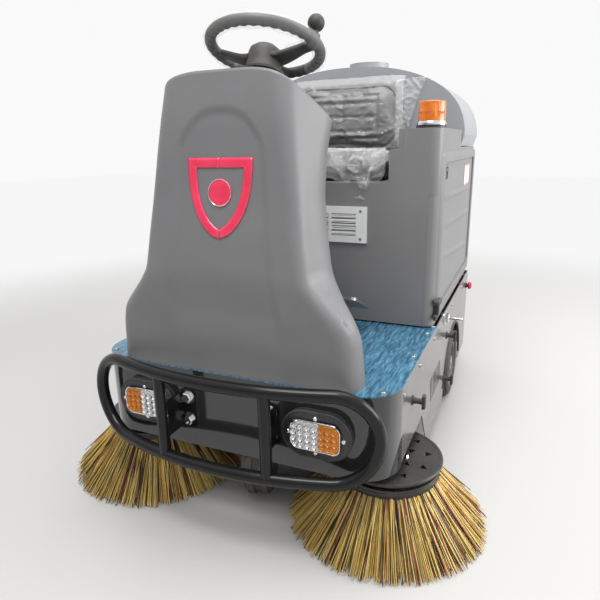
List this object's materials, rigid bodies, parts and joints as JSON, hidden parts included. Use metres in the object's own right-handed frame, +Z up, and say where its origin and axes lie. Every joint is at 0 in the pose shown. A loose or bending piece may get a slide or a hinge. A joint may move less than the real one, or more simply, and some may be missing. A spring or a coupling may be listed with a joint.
{
  "type": "ride-on floor sweeper",
  "caption": "Small ride-on floor sweeper with flared side brushes, a steered front wheel, front cowl with lamps and bumper, tilting seat hood and rear hopper.",
  "frame": {"origin": "on the floor, at the middle of the machine's length and width", "axes": "+X forward, +Y the machine's left, +Z up"},
  "size_m": [1.4299, 1.2, 1.209],
  "materials": {
    "frame_black": "satin black paint",
    "panel_dark": "gloss dark grey paint",
    "panel_light": "gloss warm grey paint",
    "deck_blue": "blue protective film over plate",
    "cowl_grey": "fine textured moulded plastic",
    "hood_grey": "fine textured moulded plastic",
    "tank_grey": "fine textured moulded plastic",
    "black_plastic": "black plastic",
    "bumper_black": "gloss black powder coat",
    "lens_clear": "clear ribbed lens",
    "lens_amber": "amber lens",
    "lens_red": "red lens",
    "lens_orange": "orange beacon lens",
    "chrome": "bright chrome",
    "steel": "plain steel",
    "rubber_black": "moulded rubber",
    "tyre_black": "dusty tyre rubber",
    "rim_grey": "painted steel rim",
    "bristle_yellow": "mixed yellow, tan and brown bristles",
    "bristle_dark": "dark bristles",
    "seat_black": "black vinyl",
    "grille_grey": "pale grille frame",
    "battery_case": "battery case"
  },
  "bodies": {
    "chassis": {"chassis_frame": "frame_black", "front_panel": "panel_dark", "side_panel_left": "panel_light", "side_panel_right": "panel_light", "rear_panel": "panel_light", "deck_plate": "deck_blue", "front_cowl": "cowl_grey", "dash_panel": "black_plastic", "steering_column": "rubber_black", "bumper_bar": "bumper_black", "headlamp_bases": "black_plastic", "lamp_lenses_clear": "lens_clear", "lamp_lenses_amber": "lens_amber", "rear_lamps": "lens_red", "panel_knobs": "rubber_black", "side_pegs": "chrome", "foot_pedal": "steel", "rear_axle": "steel", "roller_housing": "frame_black", "brush_arm_left": "frame_black", "brush_arm_right": "frame_black", "battery_pack": "battery_case", "hood_hinges": "steel", "red_knobs": "lens_red", "hopper_runners": "frame_black"},
    "steering": {"steering_wheel": "rubber_black"},
    "fork": {"front_fork": "frame_black"},
    "front_wheel": {"front_tyre": "tyre_black", "front_rim": "rim_grey"},
    "rear_wheel_left": {"rear_tyre_left": "tyre_black", "rear_rim_left": "rim_grey"},
    "rear_wheel_right": {"rear_tyre_right": "tyre_black", "rear_rim_right": "rim_grey"},
    "brush_left": {"brush_disc_left": "black_plastic", "brush_bristles_left": "bristle_yellow"},
    "brush_right": {"brush_disc_right": "black_plastic", "brush_bristles_right": "bristle_yellow"},
    "roller": {"roller_core": "steel", "roller_bristles": "bristle_dark"},
    "hopper": {"hopper_tray": "panel_light"},
    "hood": {"hood_shell": "hood_grey", "vent_grille": "grille_grey", "seat_cushion": "seat_black", "seat_backrest": "seat_black", "rear_tank": "tank_grey", "beacon_base": "chrome", "beacon_lens": "lens_orange"},
    "cap": {"filler_cap": "tank_grey"}
  },
  "joints": [
    {"name": "steering_turn", "type": "hinge", "parent": "chassis", "child": "steering", "pos_m": [0.349, 0, 1.141], "axis": [-0.309, 0, 0.9511], "range_deg": [-280, 120]},
    {"name": "fork_turn", "type": "hinge", "parent": "chassis", "child": "fork", "pos_m": [0.457, 0, 0.3], "axis": [0, 0, 1], "range_deg": [-70, 30]},
    {"name": "front_wheel_spin", "type": "hinge", "parent": "fork", "child": "front_wheel", "pos_m": [0.457, 0, 0.125], "axis": [-0.342, 0.9397, 0], "continuous": true},
    {"name": "rear_wheel_left_spin", "type": "hinge", "parent": "chassis", "child": "rear_wheel_left", "pos_m": [-0.315, 0.372, 0.125], "axis": [0, 1, 0], "continuous": true},
    {"name": "rear_wheel_right_spin", "type": "hinge", "parent": "chassis", "child": "rear_wheel_right", "pos_m": [-0.315, -0.372, 0.125], "axis": [0, 1, 0], "continuous": true},
    {"name": "side_brush_left_spin", "type": "hinge", "parent": "chassis", "child": "brush_left", "pos_m": [0.444, 0.35, 0.17], "axis": [0, 0, 1], "continuous": true},
    {"name": "side_brush_right_spin", "type": "hinge", "parent": "chassis", "child": "brush_right", "pos_m": [0.444, -0.35, 0.17], "axis": [0, 0, 1], "continuous": true},
    {"name": "roller_spin", "type": "hinge", "parent": "chassis", "child": "roller", "pos_m": [-0.035, 0, 0.14], "axis": [0, 1, 0], "continuous": true},
    {"name": "hopper_slide", "type": "slide", "parent": "chassis", "child": "hopper", "axis": [-1, 0, 0], "range_m": [0, 0.24]},
    {"name": "hood_tilt", "type": "hinge", "parent": "chassis", "child": "hood", "pos_m": [-0.7, 0, 0.408], "axis": [0, -1, 0], "range_deg": [0, 60]},
    {"name": "filler_cap_tilt", "type": "hinge", "parent": "hood", "child": "cap", "pos_m": [-0.618, 0, 1.197], "axis": [0, -1, 0], "range_deg": [0, 110]}
  ],
  "couplings": [
    {"joint": "fork_turn", "follows": "steering_turn", "ratio": 0.25}
  ]
}
